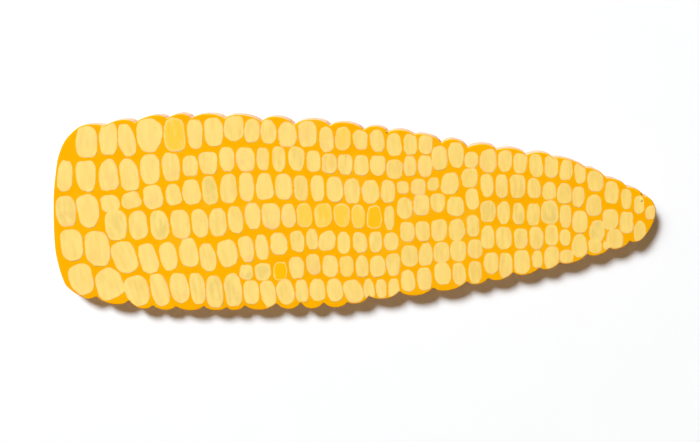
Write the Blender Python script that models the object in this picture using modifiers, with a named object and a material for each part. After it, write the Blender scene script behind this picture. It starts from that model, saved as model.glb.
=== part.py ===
"""A wall or table plaque: a flat board sawn to the outline of a corn cob.

The board lies on its back. +X runs from the stalk end to the tip, +Y across the cob,
+Z out of the painted face. The origin is under the middle of the board, on its back face.
Metres throughout.
"""

import bpy
import numpy as np

# Driving dimensions
THICKNESS = 0.019         # the board
ARRIS = 0.0008            # sanded corner along both faces
ARRIS_STEPS = 2
CURVE_STEPS = 6           # straight facets in each sawn bump
MM = 0.001

# The edge that the crests of the sawn kernels touch, in mm from the middle of the board.
TOP_EDGE = [(-270.5, 90), (-245, 93.5), (-200, 100.5), (-160, 102), (-107, 100.5), (-35, 95.5),
            (31, 88), (80, 79.5), (138, 69), (189, 61.5), (222, 54.5), (255, 39), (276, 29),
            (293, 20.5)]
BOTTOM_EDGE = [(-278, -88), (-246, -96.5), (-190, -101.5), (-138, -101.5), (-60, -99.5),
               (5, -95), (26, -88.5), (66, -86), (129, -73), (202, -57), (246, -43.5), (281, -32)]

# Sawn bumps: width, depth of the notch that ends it, and lean (above 0, the crest sits late).
TOP_BUMPS = [(24.5, 3.5, 0), (31, 6, 0.8), (34, 5, 0.5), (24.5, 5, 0.3), (33.5, 4.5, 0.1),
             (37, 6, -0.4), (33, 7, 0), (36, 5, 0.3), (34, 5.5, -0.1), (24, 4.5, 0.3),
             (25.5, 2.5, 0), (27, 6.5, 0.9), (26, 6, 0.1), (28, 3.8, 0.9), (29.5, 5.5, 1.1),
             (26.5, 3, 0.3), (32, 3.2, 0.3), (20, 3.2, 0.9), (20.5, 3, 1.3), (17, 3.8, 1.4)]
BOTTOM_BUMPS = [(14, 5, 0), (34.5, 8, 0.3), (25, 4.5, 0), (24, 4.5, 0.3), (29.5, 5, 0.4),
                (24, 3.5, 0), (19, 5, -0.2), (33, 6.5, 0), (25, 7, 0.2), (23.5, 6.5, -0.3),
                (24.5, 4.5, 0), (21.5, 5, 0.8), (31.5, 6.5, 0.6), (34.5, 6.5, 0.1),
                (34.5, 5.5, -0.2), (21, 4.5, -0.1), (25, 5.5, 0.1), (26, 4.5, -0.1), (20, 4.5, 0.2),
                (27.5, 4.5, -0.2), (21.5, 4, 0), (19.5, 4.5, 0)]

# Round ends: anchor, and the handles before and after it, in mm.
TIP = [((305, 2), (305, 9), (305, -7)),
       ((296, -22), (300, -15.5), (292.5, -27.5))]
STALK_END = [((-295.5, -75.5), (-290, -82), (-299.8, -67)),
             ((-304, -41), (-302.8, -51), (-305, -28)),
             ((-303, 12), (-304.4, -9), (-302.3, 24)),
             ((-297, 52), (-299.8, 38), (-295, 61.5)),
             ((-286, 77), (-290.5, 71.5), (-281, 82.5))]


def edge_height(edge, x):
    """Height of a smooth line through the edge's points, at x."""
    xs, ys = np.array(edge, float).T
    slopes = np.gradient(ys, xs)
    i = int(np.clip(np.searchsorted(xs, x) - 1, 0, len(xs) - 2))
    span = xs[i + 1] - xs[i]
    t = (x - xs[i]) / span
    return (ys[i] * (1 + 2 * t) * (1 - t) ** 2 + slopes[i] * span * t * (1 - t) ** 2
            + ys[i + 1] * t * t * (3 - 2 * t) + slopes[i + 1] * span * t * t * (t - 1))


def notches(edge, bumps, side):
    """The bottoms of the notches along one edge, from the stalk end to the tip."""
    x = edge[0][0]
    points = [np.array([x, edge_height(edge, x)])]
    for width, depth, _ in bumps:
        x += width
        points.append(np.array([x, edge_height(edge, x) - side * depth]))
    return points


def bump_handles(start, end, rise, lean, outward):
    """The two handles of the curve over one bump, whose crest stands rise above its notches."""
    along = end - start
    lift = outward * rise / 0.75
    return start + along * (0.2 + 0.15 * lean) + lift, end - along * (0.2 - 0.15 * lean) + lift


def edge_anchors(edge, bumps, side):
    """Anchors along one edge as (point, handle before, handle after), stalk end to tip."""
    points = notches(edge, bumps, side)
    anchors = [[p, p, p] for p in points]
    last_depth = 0.0
    for i, (_, depth, lean) in enumerate(bumps):
        outward = np.array([0.0, side])
        rise = (last_depth + depth) / 2
        after, before = bump_handles(points[i], points[i + 1], rise, lean, outward)
        anchors[i][2] = after
        anchors[i + 1][1] = before
        last_depth = depth
    return anchors


def reversed_anchors(anchors):
    """The same stretch of outline walked the other way."""
    return [[point, after, before] for point, before, after in reversed(anchors)]


def outline_anchors():
    """Every anchor of the outline in order: along the top, round the tip, back, and up the end."""
    top = edge_anchors(TOP_EDGE, TOP_BUMPS, 1)
    bottom = reversed_anchors(edge_anchors(BOTTOM_EDGE, BOTTOM_BUMPS, -1))
    top[0][1] = top[0][0] + np.array([-6.0, -3.0])
    top[-1][2] = top[-1][0] + np.array([6.0, 2.0])
    bottom[0][1] = bottom[0][0] + np.array([7.0, -3.5])
    bottom[-1][2] = bottom[-1][0] + np.array([-5.0, 1.5])
    return top + TIP + bottom + STALK_END


def outline_curve():
    """The outline as a flat, filled curve with the board's thickness."""
    anchors = outline_anchors()
    curve = bpy.data.curves.new("board_outline", "CURVE")
    curve.dimensions = "2D"
    curve.fill_mode = "BOTH"
    curve.extrude = THICKNESS / 2
    curve.resolution_u = CURVE_STEPS
    spline = curve.splines.new("BEZIER")
    spline.bezier_points.add(len(anchors) - 1)
    spline.use_cyclic_u = True
    for point, (co, before, after) in zip(spline.bezier_points, anchors):
        point.handle_left_type = "FREE"
        point.handle_right_type = "FREE"
        point.co = (co[0] * MM, co[1] * MM, 0)
        point.handle_left = (before[0] * MM, before[1] * MM, 0)
        point.handle_right = (after[0] * MM, after[1] * MM, 0)
    return curve


def paint_material():
    """Satin paint, the orange of the ground colour."""
    material = bpy.data.materials.new("painted_face")
    material.use_nodes = True
    shader = material.node_tree.nodes["Principled BSDF"]
    shader.inputs["Base Color"].default_value = (1.0, 0.43, 0.002, 1)
    shader.inputs["Roughness"].default_value = 0.5
    shader.inputs["Metallic"].default_value = 0.0
    return material


def soften_edges(board):
    """Welds the curve's loose caps to its sides and sands the corners of both faces."""
    weld = board.modifiers.new("weld_caps", "WELD")
    weld.merge_threshold = 0.00002
    bevel = board.modifiers.new("sanded_arris", "BEVEL")
    bevel.width = ARRIS
    bevel.segments = ARRIS_STEPS
    bevel.limit_method = "ANGLE"
    bevel.angle_limit = np.radians(75)
    bevel.use_clamp_overlap = False


def build():
    """The board, as one object in a collection named for it."""
    collection = bpy.data.collections.new("corn_cob_plaque")
    bpy.context.scene.collection.children.link(collection)
    board = bpy.data.objects.new("board", outline_curve())
    board.location = (0, 0, THICKNESS / 2)
    board.data.materials.append(paint_material())
    collection.objects.link(board)
    soften_edges(board)


for old in list(bpy.data.objects):
    bpy.data.objects.remove(old)
build()
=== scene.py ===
"""The finish of a corn cob cut-out plaque: sawn plywood, peach primer, an orange ground and
pale yellow kernels, each brushed on by hand. Metres, in the frame of the CAD board."""

import math

import bpy
import numpy as np
from mathutils import Matrix, Vector
from mathutils.geometry import delaunay_2d_cdt


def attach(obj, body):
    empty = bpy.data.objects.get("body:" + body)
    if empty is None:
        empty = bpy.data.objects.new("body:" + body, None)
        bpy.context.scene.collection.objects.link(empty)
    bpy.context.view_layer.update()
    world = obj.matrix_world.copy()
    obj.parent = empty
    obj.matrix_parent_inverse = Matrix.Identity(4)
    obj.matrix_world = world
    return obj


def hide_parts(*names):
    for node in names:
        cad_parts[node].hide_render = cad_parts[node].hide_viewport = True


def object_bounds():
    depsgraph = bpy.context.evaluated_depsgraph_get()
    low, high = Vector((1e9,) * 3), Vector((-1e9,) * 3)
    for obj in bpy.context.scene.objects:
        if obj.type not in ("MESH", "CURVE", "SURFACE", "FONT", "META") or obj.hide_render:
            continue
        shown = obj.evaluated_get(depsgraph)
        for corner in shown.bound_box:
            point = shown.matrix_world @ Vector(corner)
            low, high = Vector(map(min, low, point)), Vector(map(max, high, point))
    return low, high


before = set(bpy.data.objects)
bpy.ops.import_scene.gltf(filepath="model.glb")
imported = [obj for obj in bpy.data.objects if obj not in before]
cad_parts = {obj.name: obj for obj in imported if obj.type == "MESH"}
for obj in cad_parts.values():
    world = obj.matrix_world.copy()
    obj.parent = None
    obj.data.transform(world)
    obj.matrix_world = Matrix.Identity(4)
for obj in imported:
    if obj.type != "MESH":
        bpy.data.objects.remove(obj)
CAD_LOW, CAD_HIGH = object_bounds()

MM = 0.001
SEED = 24
THICKNESS = CAD_HIGH.z

# Heights of the layers above the back face.
WOOD_TOP = THICKNESS - 0.30 * MM        # primed board, under the paint
GROUND_TOP = THICKNESS - 0.06 * MM      # orange ground
UNDERCOAT_TOP = THICKNESS - 0.02 * MM   # peach patches under the kernels
KERNEL_BASE = THICKNESS                  # pale yellow kernels
KERNEL_BODY = 0.02 * MM                 # how far a kernel stands above its base
RIM_RIDGE = 0.010 * MM                  # paint pushed up round a kernel's rim
FURROW = 0.006 * MM                     # depth of the brush furrows in a kernel
HALO = 0.55 * MM                        # peach undercoat left showing round a kernel
HEIGHT_EASE = 0.5 * MM                  # ground left showing between the rows
EDGE_MARGIN = 0.7 * MM                  # ground left showing at the sawn edge

OUTLINE_STEP = 1.0 * MM
OUTLINE_SOFTNESS = 0.6 * MM             # rounds the saw's facets and the bottoms of its notches
ARRIS = 0.8 * MM
PLIES = 9

WALL_RINGS = 20                         # rings of points down the sawn wall
CHIP_HEIGHT = 3.4 * MM                  # how far the chips climb the wall from the back
CHIP_DEPTH = 0.55 * MM
GROUND_PITCH = 3.4 * MM                 # between the points of the ground's skin
GROUND_THICK = 0.12 * MM                # how far the ground stands off the sawn wall
GROUND_LAP = 0.9 * MM                   # how far it laps down the wall
LAP_CHANGE = 0.45 * MM

FLOOR_CORNERS = 48
FLOOR_REACH = 14.0
FLOOR_DROP = 0.00002                    # keeps the floor clear of the back face
KEY_WAY = Vector((-0.49, 0.90, 1.0)).normalized()
KEY_ENERGY = 4.12
KEY_ANGLE = math.radians(16)
KEY_COLOUR = (0.833, 0.906, 0.985)
NEAR_ENERGY = 8.2
NEAR_SIZE = 0.55
NEAR_DISTANCE = 1.9
NEAR_AIM = Vector((-0.3, 0, 0))
FILL_COLOUR = (1.0, 0.65, 0.30, 1)
FILL_FROM = (-0.7, -0.7, 0.0)
BACKDROP = (0.97, 0.97, 0.96, 1)

CAMERA_AT = Vector((0.0922, 0.2201, 1.1944))
CAMERA_TARGET = Vector((0.0017, -0.0074, THICKNESS))
LENS = 61.2

# The kernel rows, in mm. Each has the x where it starts, the room that each kernel takes along
# the row, its middle line as (x, y), its kernels' height as (x, height), and their lean as
# (x, degrees), where a kernel with a positive lean has its top towards the stalk end.
ROWS = {
    "a": (-277.5,
          [25.5, 19.5, 19, 27.5, 23.5, 18.5, 20, 21, 15.5, 18, 20, 20.5, 16.5, 17, 17, 17, 17, 15, 15],
          [(-265, 74.5), (-242, 77), (-223, 75.5), (-200, 80.5), (-153, 81), (-113, 87), (-60, 81),
           (-38, 81),
           (-21, 75.5), (-4, 76), (30, 74), (47, 70), (80, 70)],
          [(-265, 34), (-190, 36), (-172, 37), (-155, 31), (-113, 29), (-95, 24), (-21, 28),
           (14, 21), (50, 25),
           (80, 21)],
          [(-265, -5), (-242, -3), (-223, 6), (-200, 0), (-150, 0), (-60, 2), (80, 1)]),
    "a2": (83.5,
           [16.5, 16.5, 14, 18.5, 15, 15, 16, 14.5, 14, 13.5, 16.5, 16, 13, 12, 12],
           [(92, 56), (108, 58.5), (123, 54), (160, 53), (186, 48), (205, 47), (230, 40.5), (244, 33.5),
            (262, 21), (288, 9), (300, 1.5)],
           [(92, 26), (108, 29), (123, 16), (139, 25), (172, 22), (186, 26), (215, 22), (262, 24),
            (288, 20), (300, 15)],
           [(92, 1), (180, 2), (300, 4)]),
    "b": (-298.5,
          [19, 24, 22.5, 21, 22.5, 21, 18.5, 19, 18.5, 20, 15, 17, 18.5, 16, 15.5, 16.5, 16, 16.5, 17,
           14.5, 15.5],
          [(-289, 39), (-223, 39.5), (-201, 46), (-150, 50.5), (-122, 55.5), (-52, 56), (-19, 51),
           (30, 49), (47, 45), (62, 48), (77, 48)],
          [(-289, 34), (-223, 34), (-201, 31), (-175, 31), (-159, 23), (-120, 27), (-86, 24), (-69, 28),
           (-19, 21), (30, 23), (60, 20), (77, 23)],
          [(-289, -4), (-266, 0), (-210, 4), (-190, 0), (80, 0)]),
    "b2": (92.5,
           [19.5, 19, 15.5, 14, 17.5, 15, 14.5, 15, 13.5, 17, 16.5, 14.5, 12.5],
           [(102, 30), (122, 36), (138, 28), (169, 27.5), (200, 23.5), (229, 16.5), (244, 8), (260, -5),
            (276, -8.5), (290, -17.5)],
           [(102, 24), (122, 20), (138, 24), (169, 25), (200, 20), (244, 23), (290, 24)],
           [(102, 0), (290, 3)]),
    "c": (-302,
          [23, 24.5, 22, 21.5, 24, 18, 19.5, 18.5, 20, 17, 19.5, 19, 16.5, 17, 17.5, 17.5, 20, 15, 14.5,
           16.5, 13],
          [(-290, 3), (-266, 2.5), (-244, 11), (-199, 17), (-160, 22.5), (-85, 28), (-31, 26), (5, 23),
           (41, 21.5), (56, 27), (71, 27), (85, 30.5)],
          [(-290, 33), (-266, 36), (-244, 19), (-221, 19), (-199, 26), (-177, 24), (-141, 31), (-90, 31),
           (-47, 27), (5, 27), (41, 23), (56, 14), (71, 18), (85, 15)],
          [(-290, 2), (-266, 6), (-160, 10), (-120, 3), (85, 0)]),
    "d": (-251.5,
          [25, 22, 22, 21.5, 19, 18, 18, 18, 19.5, 16, 17, 20.5, 17.5, 15.5, 17, 13, 17.5, 16.5, 16.5,
           18.5, 15, 16.5, 14.5, 15, 14, 18.5, 12.5, 17, 16.5, 18.5],
          [(-239, -12), (-194, -12), (-134, -9.5), (-97, -3), (-26, -1.5), (26, -3.5), (42, -5),
           (57, 5.5), (90, 11), (108, 7.5), (125, 15), (141, 2), (185, -1), (201, 1.5), (230, -7.5),
           (247, -17.5), (268, -27)],
          [(-239, 32), (-134, 31), (-61, 26), (20, 25), (42, 26), (57, 23), (90, 21), (141, 24),
           (200, 24), (247, 24), (268, 21)],
          [(-239, 5), (-172, 3), (-100, 2), (268, 1)]),
    "e": (-299,
          [25.5, 28, 28, 22, 20, 22, 18, 22, 17.5, 14.5, 21, 17, 12.5, 18.5, 15.5, 17, 15, 17, 15.5, 15,
           18, 17.5, 14.5, 15, 17.5, 16, 15, 15, 12, 16.5, 14, 8],
          [(-286, -32.5), (-259, -36.5), (-231, -45.5), (-205, -47.5), (-165, -41), (-143, -46),
           (-105, -37), (-71, -31.5), (-37, -26.5), (-4, -30), (44, -28.5), (61, -18), (110, -16.5),
           (126, -12), (141, -25), (189, -25), (204, -21.5), (218, -24), (232, -33.5), (258, -32.5)],
          [(-286, 36), (-259, 39), (-205, 33), (-143, 31), (-89, 27), (-37, 22), (28, 23), (44, 20),
           (92, 24), (141, 25), (204, 23), (218, 17), (232, 26), (247, 16), (258, 9)],
          [(-286, 2), (-259, 4), (-231, 17), (-205, 12), (-165, 6), (-143, 10), (-105, 11), (-71, 1),
           (258, 2)]),
    "f": (-113,
          [15.5, 18.5, 17, 17.5, 16.5, 18, 16, 15, 16.5, 15, 18, 15, 16.5, 17, 17, 15.5, 14, 18, 12.5,
           16, 14],
          [(-105, -61), (-70, -59.5), (-37, -52), (-19, -55), (28, -54), (45, -52), (61, -44),
           (128, -36), (144, -50.5), (158, -53.5), (190, -47), (219, -43.5)],
          [(-105, 18), (-70, 21), (-52, 24), (60, 24), (128, 23), (158, 27), (175, 26), (190, 19),
           (204, 23), (219, 15)],
          [(-105, 0), (-19, 6), (10, 2), (219, 1)]),
    "g": (-292.5,
          [28, 31, 26.5, 21, 21, 17, 18, 20.5, 17.5, 17.5, 18.5, 14.5, 17.5, 18, 20, 12.5, 12.5, 13,
           16, 17.5, 19, 15, 16],
          [(-278, -69), (-250, -74), (-220, -81.5), (-196, -81), (-165, -77), (-139, -81.5),
           (-120, -79.5), (-84, -84), (-33, -79), (4, -80), (46, -77), (59, -69), (77, -67),
           (95, -62.5), (127, -60.5)],
          [(-278, 35), (-220, 35), (-139, 36), (-120, 37), (-100, 26), (-84, 30), (-49, 25), (4, 25),
           (32, 21), (59, 24), (95, 25), (127, 25)],
          [(-278, 15), (-250, 17), (-220, 15), (-176, 9), (-139, 3), (-100, 3), (-65, 14), (-33, 2),
           (4, 20), (25, 3), (127, 4)]),
}

# Kernels picked out in gold or in a greyer yellow: (row, place in the row): strength.
GOLD = {("a", 4): 1.0, ("a", 13): 0.6, ("d", 10): 0.9, ("d", 11): 0.95, ("d", 12): 1.0,
        ("d", 13): 0.9, ("d", 14): 1.3, ("f", 2): 1.35, ("f", 6): 0.3}
GREY = {("c", 0): 0.6, ("c", 7): 0.8, ("d", 0): 0.55, ("d", 2): 0.75, ("d", 23): 0.6, ("d", 25): 0.8,
        ("d", 28): 0.75, ("f", 0): 0.9, ("f", 1): 0.6, ("g", 6): 0.6, ("g", 7): 0.5, ("e", 22): 0.7,
        ("d", 21): 0.45, ("b", 12): 0.35, ("e", 16): 0.35, ("d", 17): 0.4, ("f", 10): 0.3}
TOP_NOTCH = (39.6, 81.8)     # where a dark fleck of painted shade sits in a notch of the upper edge, in mm
SHEEN = 0.02        # poster paint is almost dead matt
RIM_POINTS = 56
RIM_RINGS = (1.0, 0.992, 0.96, 0.92, 0.85, 0.75, 0.6, 0.42, 0.22)


# ---------------------------------------------------------------- small helpers

def value_along(line, x):
    """The value at x of a line given as (x, value) points."""
    xs, values = zip(*line)
    return float(np.interp(x, xs, values))


def wandering(count, width, rng):
    """Smooth random values of unit spread round a closed line of count points."""
    values = rng.standard_normal(count)
    frequency = np.fft.rfftfreq(count)
    values = np.fft.irfft(np.fft.rfft(values) * np.exp(-0.5 * (frequency * width * 2 * math.pi) ** 2), count)
    return values / values.std()


def new_piece(name, vertices, faces, material, smooth=True):
    """A mesh object made from points and faces, which rides on the board's body."""
    mesh = bpy.data.meshes.new(name)
    mesh.from_pydata([tuple(v) for v in vertices], [], [tuple(f) for f in faces])
    mesh.validate()
    mesh.polygons.foreach_set("use_smooth", [smooth] * len(mesh.polygons))
    piece = bpy.data.objects.new(name, mesh)
    bpy.context.scene.collection.objects.link(piece)
    mesh.materials.append(material)
    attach(piece, "root")
    return piece


def paint_attribute(piece, name, kind, values):
    """Stores one value per vertex for the piece's material to read."""
    attribute = piece.data.attributes.new(name, kind, "POINT")
    field = "vector" if kind == "FLOAT_VECTOR" else "value"
    attribute.data.foreach_set(field, np.asarray(values, np.float32).ravel())


def ring_faces(first, second, count):
    """Quads between two closed rings of count points, given the index where each starts."""
    i = np.arange(count)
    j = (i + 1) % count
    return np.stack([first + i, first + j, second + j, second + i], 1).tolist()


# ---------------------------------------------------------------- outline

def cad_outline():
    """The CAD board's outline in order, from the ring where its sawn wall meets the arris."""
    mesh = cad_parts["board"].data
    points = np.array([v.co for v in mesh.vertices])
    heights = np.unique(points[:, 2].round(5))
    ring = heights[heights > THICKNESS / 2].min()
    on_ring = np.abs(points[:, 2] - ring) < 2e-5
    keys = [tuple(p) for p in points[:, :2].round(6)]
    links = {}
    for polygon in mesh.polygons:
        for a, b in polygon.edge_keys:
            if on_ring[a] and on_ring[b] and keys[a] != keys[b]:
                links.setdefault(keys[a], set()).add(keys[b])
                links.setdefault(keys[b], set()).add(keys[a])
    start = min(links)
    walk = [start, min(links[start])]
    while True:
        ahead = links[walk[-1]] - {walk[-2]}
        step = min(ahead)
        if step == start:
            break
        walk.append(step)
    outline = np.array(walk)
    x, y = outline.T
    area = np.sum(x * np.roll(y, -1) - y * np.roll(x, -1))
    return outline if area > 0 else outline[::-1]


def evenly_spaced(points, step):
    """A closed line as points one step apart."""
    closed = np.vstack([points, points[:1]])
    lengths = np.r_[0, np.cumsum(np.linalg.norm(np.diff(closed, axis=0), axis=1))]
    count = int(round(lengths[-1] / step))
    at = np.linspace(0, lengths[-1], count, endpoint=False)
    return np.stack([np.interp(at, lengths, closed[:, k]) for k in (0, 1)], 1)


def softened(points, width):
    """A closed, evenly spaced line with its corners rounded over about that width."""
    frequency = np.fft.rfftfreq(len(points), OUTLINE_STEP)
    keep = np.exp(-0.5 * (frequency * width * 2 * math.pi) ** 2)
    return np.stack([np.fft.irfft(np.fft.rfft(points[:, k]) * keep, len(points)) for k in (0, 1)], 1)


def outward(points):
    """Unit vectors pointing out of a closed anticlockwise line."""
    along = np.roll(points, -1, 0) - np.roll(points, 1, 0)
    normal = np.stack([along[:, 1], -along[:, 0]], 1)
    return normal / np.linalg.norm(normal, axis=1, keepdims=True)


OUTLINE = softened(evenly_spaced(cad_outline(), OUTLINE_STEP), OUTLINE_SOFTNESS)
OUTWARD = outward(OUTLINE)


# ---------------------------------------------------------------- materials

def group_socket(tree, name, kind, is_output=False, default=None):
    """One named input or output of a node group."""
    socket = tree.interface.new_socket(name, in_out="OUTPUT" if is_output else "INPUT", socket_type=kind)
    if default is not None:
        socket.default_value = default
    return socket


class Nodes:
    """Adds and links nodes in a tree, so that a material reads as a list of steps."""

    def __init__(self, tree):
        self.tree = tree

    def add(self, kind, **settings):
        node = self.tree.nodes.new(kind)
        for name, value in settings.items():
            setattr(node, name, value)
        return node

    def feed(self, socket, source):
        if isinstance(source, bpy.types.NodeSocket):
            self.tree.links.new(source, socket)
        elif source is not None:
            socket.default_value = source

    def maths(self, operation, a, b=None, clamp=False):
        node = self.add("ShaderNodeMath", operation=operation, use_clamp=clamp)
        self.feed(node.inputs[0], a)
        self.feed(node.inputs[1], b)
        return node.outputs[0]

    def mix(self, factor, a, b):
        node = self.add("ShaderNodeMix", data_type="RGBA")
        self.feed(node.inputs["Factor"], factor)
        self.feed(node.inputs["A"], a)
        self.feed(node.inputs["B"], b)
        return node.outputs["Result"]

    def span(self, value, low, high, to_low=0.0, to_high=1.0):
        node = self.add("ShaderNodeMapRange", clamp=True)
        for name, v in zip(("Value", "From Min", "From Max", "To Min", "To Max"),
                           (value, low, high, to_low, to_high)):
            self.feed(node.inputs[name], v)
        return node.outputs["Result"]

    def noise(self, vector, scale, detail=3.0, roughness=0.5):
        node = self.add("ShaderNodeTexNoise")
        self.feed(node.inputs["Vector"], vector)
        self.feed(node.inputs["Scale"], scale)
        node.inputs["Detail"].default_value = detail
        node.inputs["Roughness"].default_value = roughness
        return node.outputs["Fac"]

    def stretched(self, vector, scale):
        node = self.add("ShaderNodeVectorMath", operation="MULTIPLY")
        self.feed(node.inputs[0], vector)
        node.inputs[1].default_value = scale
        return node.outputs["Vector"]

    def position(self):
        return self.add("ShaderNodeTexCoord").outputs["Object"]

    def attribute(self, name, output="Fac"):
        return self.add("ShaderNodeAttribute", attribute_name=name).outputs[output]

    def bump(self, height, distance, strength=1.0):
        node = self.add("ShaderNodeBump")
        node.inputs["Strength"].default_value = strength
        node.inputs["Distance"].default_value = distance
        self.feed(node.inputs["Height"], height)
        return node.outputs["Normal"]

    def group(self, tree, **inputs):
        node = self.add("ShaderNodeGroup")
        node.node_tree = tree
        for name, value in inputs.items():
            self.feed(node.inputs[name.replace("_", " ").capitalize()], value)
        return node


def srgb(red, green, blue):
    """A paint colour given on a 0 to 255 scale, as the shader's linear colour."""
    linear = [c / 255 / 12.92 if c <= 10 else ((c / 255 + 0.055) / 1.055) ** 2.4 for c in (red, green, blue)]
    return (*linear, 1.0)


def bristle_group():
    """Lines left by a brush: fine streaks along the stroke's second axis, and the paint's drag."""
    tree = bpy.data.node_groups.new("bristle_lines", "ShaderNodeTree")
    group_socket(tree, "Stroke", "NodeSocketVector")
    group_socket(tree, "Fineness", "NodeSocketFloat", default=500.0)
    group_socket(tree, "Streaks", "NodeSocketFloat", is_output=True)
    group_socket(tree, "Drag", "NodeSocketFloat", is_output=True)
    n = Nodes(tree)
    source = n.add("NodeGroupInput")
    out = n.add("NodeGroupOutput")
    drawn_out = n.stretched(source.outputs["Stroke"], (1.0, 0.09, 1.0))
    fine = n.noise(drawn_out, source.outputs["Fineness"], 4.0, 0.6)
    half = n.maths("MULTIPLY", source.outputs["Fineness"], 0.32)
    broad = n.noise(n.stretched(source.outputs["Stroke"], (1.0, 0.25, 1.0)), half, 2.0, 0.5)
    n.feed(out.inputs["Streaks"], n.span(fine, 0.3, 0.7))
    n.feed(out.inputs["Drag"], n.span(broad, 0.32, 0.68))
    return tree


def mottle_group():
    """Slow change of tone where paint was mixed or laid unevenly."""
    tree = bpy.data.node_groups.new("paint_mottle", "ShaderNodeTree")
    group_socket(tree, "Place", "NodeSocketVector")
    group_socket(tree, "Size", "NodeSocketFloat", default=30.0)
    group_socket(tree, "Cloud", "NodeSocketFloat", is_output=True)
    group_socket(tree, "Speckle", "NodeSocketFloat", is_output=True)
    n = Nodes(tree)
    source = n.add("NodeGroupInput")
    out = n.add("NodeGroupOutput")
    cloud = n.noise(source.outputs["Place"], source.outputs["Size"], 3.0, 0.55)
    fine = n.maths("MULTIPLY", source.outputs["Size"], 22.0)
    speckle = n.noise(source.outputs["Place"], fine, 2.0, 0.6)
    n.feed(out.inputs["Cloud"], n.span(cloud, 0.3, 0.7))
    n.feed(out.inputs["Speckle"], n.span(speckle, 0.35, 0.65))
    return tree


BRISTLES = bristle_group()
MOTTLE = mottle_group()


def begin_material(name, roughness):
    """A named material with its Principled shader, ready for nodes."""
    material = bpy.data.materials.new(name)
    material.use_nodes = True
    shader = material.node_tree.nodes["Principled BSDF"]
    shader.inputs["Roughness"].default_value = roughness
    shader.inputs["Specular IOR Level"].default_value = SHEEN
    return material, Nodes(material.node_tree), shader


def ground_material():
    """Orange ground, brushed on along the cob, a shade darker towards the tip as painted light falloff, thin
    over the primer.
    """
    material, n, shader = begin_material("orange_ground", 0.5)
    place = n.position()
    lines = n.group(BRISTLES, stroke=n.stretched(place, (0.35, 1.6, 1.0)), fineness=260.0)
    swapped = n.add("ShaderNodeVectorRotate", rotation_type="Z_AXIS")
    swapped.inputs["Angle"].default_value = math.radians(82)
    n.feed(swapped.inputs["Vector"], place)
    across = n.group(BRISTLES, stroke=swapped.outputs["Vector"], fineness=420.0)
    cloud = n.group(MOTTLE, place=place, size=26.0)
    x = n.add("ShaderNodeSeparateXYZ")
    n.feed(x.inputs[0], place)
    # A shade darker towards the tip: painted light falloff along the cob.
    falloff_towards_tip = n.span(n.maths("ADD", x.outputs["X"], n.maths("MULTIPLY", cloud.outputs["Cloud"], 0.12)),
                         -0.12, 0.30)
    warm = n.mix(falloff_towards_tip, srgb(249, 172, 1), srgb(247, 171, 1))
    light = n.mix(n.maths("MULTIPLY", across.outputs["Streaks"], 0.4), warm, srgb(252, 180, 6))
    deep = n.mix(n.maths("MULTIPLY", n.span(lines.outputs["Drag"], 0.5, 1.0), 0.4), light, srgb(243, 163, 0))
    thin = n.maths("MULTIPLY", n.span(cloud.outputs["Cloud"], 0.7, 1.0), across.outputs["Streaks"])
    colour = n.mix(n.maths("MULTIPLY", thin, 0.4), deep, srgb(249, 190, 50))
    n.feed(shader.inputs["Base Color"], colour)
    n.feed(shader.inputs["Roughness"], n.span(lines.outputs["Streaks"], 0, 1, 0.44, 0.58))
    height = n.maths("ADD", n.maths("MULTIPLY", across.outputs["Streaks"], 0.6), lines.outputs["Drag"])
    n.feed(shader.inputs["Normal"], n.bump(height, 0.05 * MM))
    return material


def undercoat_material():
    """Peach undercoat that shows as a thin rim round each kernel."""
    material, n, shader = begin_material("peach_undercoat", 0.55)
    place = n.position()
    lines = n.group(BRISTLES, stroke=place, fineness=520.0)
    cloud = n.group(MOTTLE, place=place, size=55.0)
    colour = n.mix(cloud.outputs["Cloud"], srgb(246, 194, 118), srgb(248, 200, 138))
    colour = n.mix(n.maths("MULTIPLY", lines.outputs["Streaks"], 0.45), colour, srgb(247, 188, 88))
    n.feed(shader.inputs["Base Color"], colour)
    n.feed(shader.inputs["Roughness"], n.span(cloud.outputs["Speckle"], 0, 1, 0.5, 0.62))
    n.feed(shader.inputs["Normal"], n.bump(lines.outputs["Streaks"], 0.04 * MM))
    return material


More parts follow.
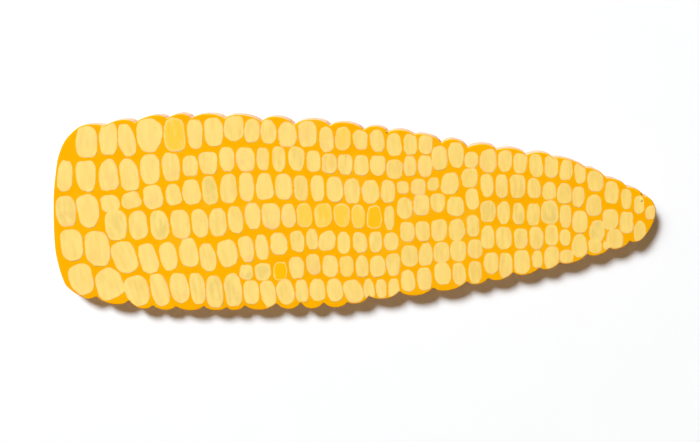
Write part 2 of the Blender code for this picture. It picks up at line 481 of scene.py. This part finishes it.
def kernel_material():
    """Pale yellow kernel paint: brush lines round the rim and down the middle, some kernels
    glazed gold or grey, and the undercoat showing through where the paint is thin."""
    material, n, shader = begin_material("kernel_yellow", 0.46)
    place = n.position()
    stroke = n.attribute("stroke", "Vector")
    gold = n.attribute("gold")
    grey = n.attribute("grey")
    tone = n.attribute("tone")
    peach = n.attribute("peach")
    lines = n.group(BRISTLES, stroke=stroke, fineness=620.0)
    cloud = n.group(MOTTLE, place=stroke, size=110.0)
    streaks, drag = lines.outputs["Streaks"], lines.outputs["Drag"]
    x = n.add("ShaderNodeSeparateXYZ")
    n.feed(x.inputs[0], place)
    # Darker and warmer towards the tip: painted light falloff along the cob.
    falloff_towards_tip = n.span(x.outputs["X"], -0.2, 0.3)
    pale = n.mix(falloff_towards_tip, srgb(250, 218, 126), srgb(248, 212, 116))
    deep = n.mix(falloff_towards_tip, srgb(243, 205, 110), srgb(239, 198, 98))
    colour = n.mix(n.maths("MULTIPLY", drag, n.maths("ADD", tone, 0.45)), pale, deep)
    colour = n.mix(n.maths("MULTIPLY", n.span(streaks, 0.55, 1.0), 0.5), colour, srgb(250, 221, 132))
    rim = n.attribute("rim")
    ringed = n.maths("MULTIPLY", rim, n.span(cloud.outputs["Speckle"], 0.2, 0.8))
    colour = n.mix(n.maths("MULTIPLY", ringed, 0.6), colour, srgb(252, 222, 112))
    through = n.maths("MULTIPLY", peach, n.span(cloud.outputs["Cloud"], 0.25, 0.85))
    colour = n.mix(through, colour, srgb(247, 197, 124))
    dull = n.maths("MULTIPLY", grey, n.span(n.maths("ADD", drag, cloud.outputs["Cloud"]), 0.5, 1.35))
    colour = n.mix(n.maths("MULTIPLY", dull, 0.75), colour, srgb(226, 197, 108))
    golden = n.maths("MULTIPLY", gold, n.span(n.maths("ADD", drag, streaks), 0.05, 0.85), clamp=True)
    amber = n.mix(n.span(gold, 0.95, 1.35), srgb(250, 202, 70), srgb(252, 186, 14))
    colour = n.mix(golden, colour, amber)
    n.feed(shader.inputs["Base Color"], colour)
    n.feed(shader.inputs["Roughness"], n.span(streaks, 0, 1, 0.4, 0.56))
    height = n.maths("ADD", n.maths("MULTIPLY", streaks, 0.7), n.maths("MULTIPLY", drag, 0.5))
    n.feed(shader.inputs["Normal"], n.bump(height, 0.06 * MM))
    return material


def edge_material():
    """Sawn edge: matt peach primer, thin enough to show the plies and the saw, chipped in places, with
    painted contact shade along its foot.
    """
    material, n, shader = begin_material("primed_edge", 0.62)
    place = n.position()
    ply = n.attribute("ply")
    bare = n.attribute("bare")
    saw = n.noise(n.stretched(place, (1.0, 1.0, 0.05)), 900.0, 3.0, 0.6)
    cloud = n.group(MOTTLE, place=place, size=40.0)
    colour = n.mix(cloud.outputs["Cloud"], srgb(236, 190, 154), srgb(240, 200, 168))
    colour = n.mix(n.maths("MULTIPLY", n.span(saw, 0.5, 0.75), 0.4), colour, srgb(228, 168, 120))
    colour = n.mix(n.maths("MULTIPLY", ply, 0.38), colour, srgb(222, 166, 116))
    # Darker, oranger band up the foot of the wall by the back face: painted contact shade.
    height = n.add("ShaderNodeSeparateXYZ")
    n.feed(height.inputs[0], place)
    contact_shade_foot = n.span(n.maths("ADD", height.outputs["Z"], n.maths("MULTIPLY", cloud.outputs["Speckle"], 2 * MM)),
                  3 * MM, 6 * MM, 1.0, 0.0)
    colour = n.mix(n.maths("MULTIPLY", contact_shade_foot, 0.75), colour, srgb(226, 156, 92))
    grain = n.noise(n.stretched(place, (0.2, 0.2, 3.0)), 700.0, 4.0, 0.65)
    wood = n.mix(n.span(grain, 0.35, 0.65), srgb(150, 118, 74), srgb(205, 172, 120))
    edge_of_chip = n.maths("ADD", bare, n.span(cloud.outputs["Speckle"], 0, 1, -0.25, 0.25))
    colour = n.mix(n.span(edge_of_chip, 0.4, 0.55), colour, wood)
    n.feed(shader.inputs["Base Color"], colour)
    n.feed(shader.inputs["Roughness"], n.span(saw, 0.3, 0.7, 0.55, 0.72))
    relief = n.maths("ADD", saw, n.maths("MULTIPLY", grain, 0.4))
    n.feed(shader.inputs["Normal"], n.bump(relief, 0.08 * MM))
    return material


def back_material():
    """Bare sanded birch face veneer, its grain along the cob, smudged with primer at the rim."""
    material, n, shader = begin_material("bare_plywood", 0.6)
    place = n.position()
    rim = n.attribute("bare")
    sway = n.noise(n.stretched(place, (1.6, 5.0, 1.0)), 3.0, 2.0, 0.5)
    bent = n.add("ShaderNodeVectorMath", operation="ADD")
    n.feed(bent.inputs[0], n.stretched(place, (0.5, 9.0, 1.0)))
    n.feed(bent.inputs[1], n.stretched(sway, (0.0, 1.4, 0.0)))
    figure = n.noise(bent.outputs["Vector"], 9.0, 5.0, 0.6)
    pores = n.noise(n.stretched(place, (0.06, 1.0, 1.0)), 1500.0, 3.0, 0.6)
    cloud = n.group(MOTTLE, place=place, size=18.0)
    colour = n.mix(n.span(figure, 0.35, 0.65), srgb(228, 198, 152), srgb(208, 172, 122))
    colour = n.mix(n.maths("MULTIPLY", n.span(pores, 0.58, 0.78), 0.5), colour, srgb(176, 136, 88))
    colour = n.mix(n.maths("MULTIPLY", cloud.outputs["Cloud"], 0.3), colour, srgb(235, 208, 165))
    smudge = n.maths("ADD", rim, n.span(cloud.outputs["Speckle"], 0, 1, -0.3, 0.3))
    colour = n.mix(n.span(smudge, 0.6, 0.8), colour, srgb(252, 212, 172))
    n.feed(shader.inputs["Base Color"], colour)
    n.feed(shader.inputs["Roughness"], n.span(figure, 0.3, 0.7, 0.55, 0.68))
    n.feed(shader.inputs["Normal"], n.bump(n.maths("ADD", pores, figure), 0.06 * MM))
    return material


def fleck_material(name, low, high):
    """A small dab's material: stray paint, or a dark fleck of painted shade."""
    material, n, shader = begin_material(name, 0.45)
    lines = n.group(BRISTLES, stroke=n.position(), fineness=700.0)
    n.feed(shader.inputs["Base Color"], n.mix(lines.outputs["Streaks"], low, high))
    n.feed(shader.inputs["Normal"], n.bump(lines.outputs["Drag"], 0.05 * MM))
    return material


def floor_material():
    """The plain white paper that the board lies on."""
    material, n, shader = begin_material("white_paper", 0.9)
    shader.inputs["Specular IOR Level"].default_value = 0.0
    cloud = n.noise(n.position(), 14.0, 3.0, 0.5)
    n.feed(shader.inputs["Base Color"], n.mix(cloud, (0.93, 0.93, 0.925, 1), (0.95, 0.95, 0.945, 1)))
    return material


# ---------------------------------------------------------------- the board

def saw_wobble(rng):
    """How far the sawn wall strays from its line at each point of the outline."""
    count = len(OUTLINE)
    return 0.05 * MM * wandering(count, 0.9, rng) + 0.10 * MM * wandering(count, 5, rng)


def chip_strength(rng):
    """How far veneer has broken out along the back arris, most on the upper side by the tip."""
    x, y = OUTLINE.T
    by_tip = np.clip((x - 0.19) / 0.03, 0, 1) * (y > 0)
    patches = wandering(len(OUTLINE), 2.6, rng)
    return np.clip(patches * 0.8 - 0.3 + 0.35 * by_tip, 0, 1) * (0.12 + 0.88 * by_tip)


def board_core(rng):
    """The sawn plywood board: a wall of many rings with an arris along both faces."""
    wobble = saw_wobble(rng)
    chips = chip_strength(rng)
    count = len(OUTLINE)
    low = [(0.0, ARRIS), (0.09 * MM, 0.45 * MM), (0.3 * MM, 0.15 * MM)]
    wall = [(z, 0.0) for z in np.linspace(ARRIS, WOOD_TOP - ARRIS, WALL_RINGS)]
    high = [(WOOD_TOP - 0.3 * MM, 0.15 * MM), (WOOD_TOP - 0.09 * MM, 0.45 * MM), (WOOD_TOP, ARRIS)]
    levels = low + wall + high
    drift = wandering(count, 12, rng)
    vertices, ply, bare = [], [], []
    for z, inset in levels:
        share = z / WOOD_TOP
        line = abs(math.sin(math.pi * PLIES * share)) ** 6
        out = wobble - inset - 0.035 * MM * line + 0.05 * MM * drift * (share - 0.5)
        reach = max(0.0, 1 - z / CHIP_HEIGHT)
        out = out - CHIP_DEPTH * chips * reach * (inset < 0.5 * MM)
        ring = OUTLINE + OUTWARD * out[:, None]
        vertices.append(np.c_[ring, np.full(count, z)])
        ply.append(np.full(count, line))
        bare.append(chips * min(1.0, reach * 1.6))
    faces = []
    for k in range(len(levels) - 1):
        faces += ring_faces(k * count, (k + 1) * count, count)
    faces.append(list(range(count))[::-1])
    last = (len(levels) - 1) * count
    faces.append(list(range(last, last + count)))
    piece = new_piece("board_core", np.vstack(vertices), faces, edge_material())
    piece.data.materials.append(back_material())
    paint_attribute(piece, "ply", "FLOAT", np.concatenate(ply))
    paint_attribute(piece, "bare", "FLOAT", np.concatenate(bare))
    for polygon in piece.data.polygons:
        if len(polygon.vertices) > 4:
            polygon.use_smooth = False
            if polygon.normal.z < 0:
                polygon.material_index = 1
    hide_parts("board")
    return piece


def ground_grid(rim):
    """Points inside the rim on a staggered grid, for the paint's surface."""
    xs = np.arange(rim[:, 0].min(), rim[:, 0].max(), GROUND_PITCH)
    ys = np.arange(rim[:, 1].min(), rim[:, 1].max(), GROUND_PITCH * 0.87)
    grid = [(x + (k % 2) * GROUND_PITCH / 2, y) for k, y in enumerate(ys) for x in xs]
    return [p for p in grid if inside(p, rim, 1.5 * MM)]


def inside(point, rim, margin):
    """Whether a point is within a closed line and at least that far from it."""
    x, y = point
    ax, ay = rim.T
    bx, by = np.roll(rim, -1, 0).T
    crosses = (ay > y) != (by > y)
    at = ax + (y - ay) * (bx - ax) / np.where(by == ay, 1, by - ay)
    if np.sum(crosses & (x < at)) % 2 == 0:
        return False
    return float(np.min((ax - x) ** 2 + (ay - y) ** 2)) > margin ** 2


def ground_paint(rng):
    """The orange ground: a skin over the face that laps unevenly over the arris."""
    count = len(OUTLINE)
    lap = GROUND_LAP + LAP_CHANGE * np.clip(wandering(count, 4, rng), -1.2, 3)
    rim = OUTLINE - OUTWARD * 0.9 * MM
    loop = [(i, (i + 1) % count) for i in range(count)]
    points = [Vector(p) for p in [*rim, *ground_grid(rim)]]
    made = delaunay_2d_cdt(points, loop, [list(range(count))], 1, 1e-7)
    flat, triangles = np.array([tuple(p) for p in made[0]]), made[2]
    waves = sum(np.sin(flat[:, 0] * a + flat[:, 1] * b + c) for a, b, c in
                [(60, 420, 0.3), (-90, 690, 1.9), (35, 940, 4.0), (140, 310, 2.2)])
    top = np.c_[flat, GROUND_TOP + 0.012 * MM * waves]
    top[:count, 2] = GROUND_TOP
    vertices = [top]
    faces = [list(t) for t in triangles]
    start = len(top)
    previous = 0
    fall = 0.75 * MM
    rings = [(0.45 * MM, 0.04 * MM, 0.0), (0.12 * MM, 0.25 * MM, 0.0)]
    rings += [(-GROUND_THICK, fall, share) for share in (0.0, 0.5, 1.0)]
    rings.append((0.06 * MM, fall, 1.02))
    for inset, drop, share in rings:
        ring = OUTLINE - OUTWARD * inset
        z = GROUND_TOP - drop - share * lap
        vertices.append(np.c_[ring, z * np.ones(count)])
        faces += ring_faces(start, previous, count)
        previous = start
        start += count
    piece = new_piece("ground_paint", np.vstack(vertices), faces, ground_material())
    return piece


# ---------------------------------------------------------------- the kernels

def edge_distances(centre, angles, margin):
    """How far the outline is from centre in each direction, less a margin."""
    a = OUTLINE - centre
    b = np.roll(OUTLINE, -1, 0) - centre
    way = np.stack([np.cos(angles), np.sin(angles)], 1)
    side_a = way[:, :1] * a[:, 1] - way[:, 1:] * a[:, 0]
    side_b = way[:, :1] * b[:, 1] - way[:, 1:] * b[:, 0]
    along_a = way[:, :1] * a[:, 0] + way[:, 1:] * a[:, 1]
    along_b = way[:, :1] * b[:, 0] + way[:, 1:] * b[:, 1]
    share = side_a / np.where(side_a == side_b, 1e-12, side_a - side_b)
    hit = along_a + share * (along_b - along_a)
    hit = np.where((side_a * side_b <= 0) & (hit > 0), hit, 1.0)
    return np.maximum(hit.min(1) - margin, 1 * MM)


def rounded(shape):
    """A closed line with its sharpest corners eased."""
    return (np.roll(shape, 1, 0) + 2 * shape + np.roll(shape, -1, 0)) / 4


def kernel_shape(width, height, rng):
    """One daub's outline about its middle: a rounded oblong with its sides and corners flattened."""
    t = np.linspace(0, 2 * math.pi, RIM_POINTS, endpoint=False)
    c, s = np.cos(t), np.sin(t)
    corners = rng.uniform(2.2, 3.7, 4)
    sharing = [(1 + np.sign(c) * np.abs(c) ** 0.5 * i) * (1 + np.sign(s) * np.abs(s) ** 0.5 * j) / 4
               for i, j in ((1, 1), (-1, 1), (-1, -1), (1, -1))]
    blend = sum(corner * share for corner, share in zip(corners, sharing))
    radius = (np.abs(c) ** blend + np.abs(s) ** blend) ** (-1 / blend)
    shape = np.stack([c, s], 1) * radius[:, None]
    for side in range(8):
        square_on = side % 2 == 0
        way = math.radians(side * 45 + rng.normal(0, 7 if square_on else 12))
        flat = np.array([math.cos(way), math.sin(way)])
        reach = np.max(shape @ flat) * (rng.uniform(0.94, 0.99) if square_on else rng.uniform(0.93, 1.0))
        shape = shape * np.minimum(1, reach / np.maximum(shape @ flat, 1e-6))[:, None]
    ragged = 0.010 * wandering(RIM_POINTS, 1.8, rng) + 0.006 * wandering(RIM_POINTS, 0.7, rng)
    shape = rounded(shape) * (1 + ragged)[:, None]
    low, high = shape.min(0), shape.max(0)
    shape = (shape - (low + high) / 2) / (high - low) * (width, height)
    taper = rng.normal(0, 0.07)
    slant = rng.normal(0, 0.05)
    x, y = shape.T
    return np.stack([x * (1 + taper * 2 * y / height), y + slant * x], 1)


def lean_over(shape, degrees):
    """A shape turned so that its top goes towards the stalk end."""
    a = math.radians(degrees)
    return shape @ np.array([[math.cos(a), math.sin(a)], [-math.sin(a), math.cos(a)]])


def plan_kernels():
    """Every kernel of every row: its place, size and colouring."""
    rng = np.random.default_rng(SEED)
    kernels = []
    for row, (start, rooms, middle, heights, leans) in ROWS.items():
        x = start
        for place, room in enumerate(rooms):
            at = x + room / 2
            gap = float(np.clip(rng.normal(1.15, 0.8), 0.0, 2.8)) * MM
            wide = room * MM - gap - 2 * HALO
            tall = (value_along(heights, at) + rng.normal(0, 0.7)) * MM - 2 * HALO - HEIGHT_EASE
            kernels.append({
                "row": row,
                "centre": np.array([at, value_along(middle, at) + rng.normal(0, 0.3)]) * MM,
                "height": tall,
                "lean": value_along(leans, at) + rng.normal(0, 1.2),
                "gold": GOLD.get((row, place), 0.0),
                "grey": GREY.get((row, place), 0.0) + 0.12 * rng.random(),
                "tone": float(np.clip(rng.normal(0.3, 0.25), 0, 1)),
                "peach": float(np.clip(rng.normal(0.12, 0.32), 0, 0.9)),
                "rise": 0.03 * MM * rng.random(),
                "shape": kernel_shape(wide, tall, rng),
            })
            x += room
    return kernels


def placed_outline(kernel, grow, shift, margin):
    """A kernel's outline on the board, grown by a margin and kept within the sawn edge."""
    shape = lean_over(kernel["shape"], kernel["lean"])
    radius = np.linalg.norm(shape, axis=1)
    way = shape / radius[:, None]
    centre = kernel["centre"] + shift
    angles = np.arctan2(way[:, 1], way[:, 0])
    reach = np.minimum(radius + grow, edge_distances(centre, angles, margin))
    return centre, way * reach[:, None]


def daub(centre, outline, rings, height_of):
    """A low mound of paint over an outline: rings from the rim to the middle, and a skirt."""
    count = len(outline)
    vertices = [np.c_[centre + outline, np.full(count, GROUND_TOP - 0.05 * MM)]]
    for share in rings:
        vertices.append(np.c_[centre + outline * share, height_of(outline * share, share)])
    vertices.append(np.array([[*centre, float(height_of(np.zeros((1, 2)), 0.0)[0])]]))
    faces = []
    for k in range(len(rings)):
        faces += ring_faces(k * count, (k + 1) * count, count)
    last = len(rings) * count
    tip = last + count
    faces += [[last + i, last + (i + 1) % count, tip] for i in range(count)]
    shares = np.concatenate([np.ones(count)] + [np.full(count, s) for s in rings] + [np.zeros(1)])
    return np.vstack(vertices), faces, shares


def joined(parts):
    """Several meshes as one list of vertices and faces."""
    vertices, faces, start = [], [], 0
    for points, polygons in parts:
        vertices.append(points)
        faces += [[i + start for i in f] for f in polygons]
        start += len(points)
    return np.vstack(vertices), faces


def undercoats(kernels):
    """The peach patches under the kernels, a little larger than they are."""
    rng = np.random.default_rng(SEED + 1)
    parts = []
    for kernel in kernels:
        grow = HALO * (1 + 0.25 * rng.standard_normal() + 0.3 * wandering(RIM_POINTS, 2.5, rng))
        shift = rng.normal(0, 0.15, 2) * MM
        centre, outline = placed_outline(kernel, grow, shift, EDGE_MARGIN)
        level = UNDERCOAT_TOP - 0.03 * MM * rng.random()

        def height_of(points, share, level=level):
            return np.full(len(points), level - (0.05 * MM if share > 0.99 else 0.0))

        points, faces, _ = daub(centre, outline, (1.0, 0.95, 0.5), height_of)
        parts.append((points, faces))
    piece = new_piece("kernel_undercoat", *joined(parts), undercoat_material())
    return piece


def kernel_row(row, kernels, material):
    """The top coat of one row of kernels, with a low ridge at each rim and brush furrows inside."""
    rng = np.random.default_rng(SEED + 10 + ord(row[0]) + len(row))
    parts, strokes = [], []
    marks = {"gold": [], "grey": [], "tone": [], "peach": [], "rim": []}
    for kernel in kernels:
        centre, outline = placed_outline(kernel, 0.0, np.zeros(2), EDGE_MARGIN + HALO)
        base = KERNEL_BASE + kernel["rise"]
        tilt = math.radians(kernel["lean"])
        across = np.array([math.cos(tilt), math.sin(tilt)])
        phases = rng.uniform(0, 2 * math.pi, 4)
        pitch = rng.uniform(1.4, 2.1) * MM

        def height_of(points, share, base=base, across=across, phases=phases, pitch=pitch):
            u = points @ across
            v = points @ np.array([-across[1], across[0]])
            furrow = np.sin(2 * math.pi * u / pitch + phases[0] + 0.8 * np.sin(v / (5 * MM) + phases[1]))
            furrow = furrow + 0.5 * np.sin(2 * math.pi * u / (0.61 * pitch) + phases[2])
            rim = math.exp(-((share - 0.93) / 0.05) ** 2)
            body = KERNEL_BODY * min(1.0, (1.0 - share) * 22)
            inner = max(0.0, min(1.0, (0.93 - share) * 9))
            return base + body + RIM_RIDGE * rim + FURROW * furrow * inner

        points, faces, shares = daub(centre, outline, RIM_RINGS, height_of)
        local = points[:, :2] - centre
        u = local @ across
        v = local @ np.array([-across[1], across[0]])
        offset = rng.uniform(-1, 1, 3)
        strokes.append(np.c_[u + offset[0], v + offset[1], np.full(len(u), offset[2])])
        core = np.clip((0.985 - shares) / 0.12, 0, 1)
        marks["gold"].append(kernel["gold"] * core)
        marks["grey"].append(kernel["grey"] * np.clip((0.95 - shares) / 0.3, 0, 1))
        marks["rim"].append(np.exp(-((shares - 0.9) / 0.06) ** 2))
        marks["tone"].append(np.full(len(u), kernel["tone"]))
        low = np.clip(0.5 - 1.1 * v / kernel["height"], 0, 1)
        marks["peach"].append(kernel["peach"] * low + 0.5 * np.clip((shares - 0.86) / 0.14, 0, 1))
        parts.append((points, faces))
    piece = new_piece("kernels_row_" + row, *joined(parts), material)
    paint_attribute(piece, "stroke", "FLOAT_VECTOR", np.vstack(strokes))
    for name, values in marks.items():
        paint_attribute(piece, name, "FLOAT", np.concatenate(values))
    return piece


def stray_fleck(name, x, y, width, height, turn, lift, material, slot_name):
    """A small dab at a place given in mm: stray paint, or a dark fleck of painted shade."""
    rng = np.random.default_rng(SEED + int(abs(x)))
    shape = lean_over(kernel_shape(width * MM, height * MM, rng), turn)

    def height_of(points, share):
        return np.full(len(points), THICKNESS + lift * MM + 0.06 * MM * (1 - share * share))

    points, faces, _ = daub(np.array([x, y]) * MM, shape, (1.0, 0.8, 0.4), height_of)
    piece = new_piece(name, points, faces, material)
    return piece


def stray_marks():
    """A red speck and a chipped tip, a few accidents of a well-handled board, and dark flecks of painted
    shade in a notch of the upper edge and in the notch by the tip.
    """
    red = fleck_material("red_speck", srgb(214, 96, 40), srgb(232, 126, 52))
    # Dark brown flecks of painted shade, standing in for the shadow in the notches of the sawn edge.
    notch_shade = fleck_material("notch_painted_shade", srgb(92, 70, 34), srgb(132, 104, 52))
    bright = fleck_material("bright_yellow", srgb(250, 220, 84), srgb(252, 232, 120))
    stray_fleck("red_speck", -1.4, 58.7, 1.3, 0.8, 20, 0.05, red, "kernel_paint")
    # Painted shade: dark flecks in the upper notch and in the notch by the tip.
    stray_fleck("top_notch_painted_shade", *TOP_NOTCH, 1.6, 1.1, 60, 0.02, notch_shade, "ground_paint")
    stray_fleck("tip_notch_painted_shade_upper", 290.2, 19.6, 1.0, 2.4, 20, 0.02, notch_shade, "ground_paint")
    stray_fleck("tip_notch_painted_shade_lower", 291.0, 12.6, 2.6, 1.0, 30, 0.02, notch_shade, "ground_paint")
    stray_fleck("tip_chip_yellow", 289.9, 15.6, 2.2, 2.6, 10, 0.04, bright, "kernel_paint")


# ---------------------------------------------------------------- studio

def make_floor():
    """A wide sheet of white paper under the board."""
    mesh = bpy.data.meshes.new("paper_floor")
    angles = np.linspace(0, 2 * math.pi, FLOOR_CORNERS, endpoint=False)
    points = [(FLOOR_REACH * math.cos(a), FLOOR_REACH * math.sin(a), -FLOOR_DROP) for a in angles]
    mesh.from_pydata(points, [], [list(range(FLOOR_CORNERS))])
    floor = bpy.data.objects.new("paper_floor", mesh)
    bpy.context.scene.collection.objects.link(floor)
    mesh.materials.append(floor_material())


def make_light():
    """A soft key from the upper left, a near disc that favours the stalk end, and a warm fill."""
    key = bpy.data.lights.new("key", "SUN")
    key.energy = KEY_ENERGY
    key.angle = KEY_ANGLE
    key.color = KEY_COLOUR
    lamp = bpy.data.objects.new("key", key)
    lamp.rotation_mode = "QUATERNION"
    lamp.rotation_quaternion = KEY_WAY.to_track_quat("Z", "Y")
    bpy.context.scene.collection.objects.link(lamp)
    near = bpy.data.lights.new("near", "AREA")
    near.shape = "DISK"
    near.size = NEAR_SIZE
    near.energy = NEAR_ENERGY
    near.color = KEY_COLOUR
    soft = bpy.data.objects.new("near", near)
    soft.location = NEAR_AIM + NEAR_DISTANCE * KEY_WAY
    soft.rotation_mode = "QUATERNION"
    soft.rotation_quaternion = lamp.rotation_quaternion
    bpy.context.scene.collection.objects.link(soft)
    world = bpy.data.worlds.new("studio")
    world.use_nodes = True
    n = Nodes(world.node_tree)
    fill = world.node_tree.nodes["Background"]
    fill.inputs["Color"].default_value = FILL_COLOUR
    way = n.add("ShaderNodeTexCoord")
    towards = n.add("ShaderNodeVectorMath", operation="DOT_PRODUCT")
    n.feed(towards.inputs[0], way.outputs["Generated"])
    towards.inputs[1].default_value = FILL_FROM
    n.feed(fill.inputs["Strength"], n.span(towards.outputs["Value"], -0.6, 1, 0.02, 0.48))
    seen = n.add("ShaderNodeBackground")
    seen.inputs["Color"].default_value = BACKDROP
    path = n.add("ShaderNodeLightPath")
    either = n.add("ShaderNodeMixShader")
    n.feed(either.inputs[0], path.outputs["Is Camera Ray"])
    n.feed(either.inputs[1], fill.outputs[0])
    n.feed(either.inputs[2], seen.outputs[0])
    n.feed(world.node_tree.nodes["World Output"].inputs["Surface"], either.outputs[0])
    bpy.context.scene.world = world


def make_camera():
    """A camera almost straight above the board, tipped back from the tip end."""
    data = bpy.data.cameras.new("camera")
    data.lens = LENS
    data.sensor_width = 36.0
    camera = bpy.data.objects.new("camera", data)
    bpy.context.scene.collection.objects.link(camera)
    forward = (CAMERA_TARGET - CAMERA_AT).normalized()
    right = (Vector((1, 0, 0)) - forward * forward.x).normalized()
    up = right.cross(forward)
    turn = Matrix((right, up, -forward)).transposed().to_4x4()
    camera.matrix_world = Matrix.Translation(CAMERA_AT) @ turn
    data.clip_start = 0.01
    data.clip_end = 100.0
    bpy.context.scene.camera = camera


# ---------------------------------------------------------------- build

def build():
    """Makes every piece of the plaque."""
    rng = np.random.default_rng(SEED)
    board_core(rng)
    ground_paint(rng)
    kernels = plan_kernels()
    undercoats(kernels)
    material = kernel_material()
    for row in ROWS:
        kernel_row(row, [k for k in kernels if k["row"] == row], material)
    stray_marks()


build()
make_floor()
make_light()
make_camera()
bpy.context.scene.view_settings.view_transform = "Standard"
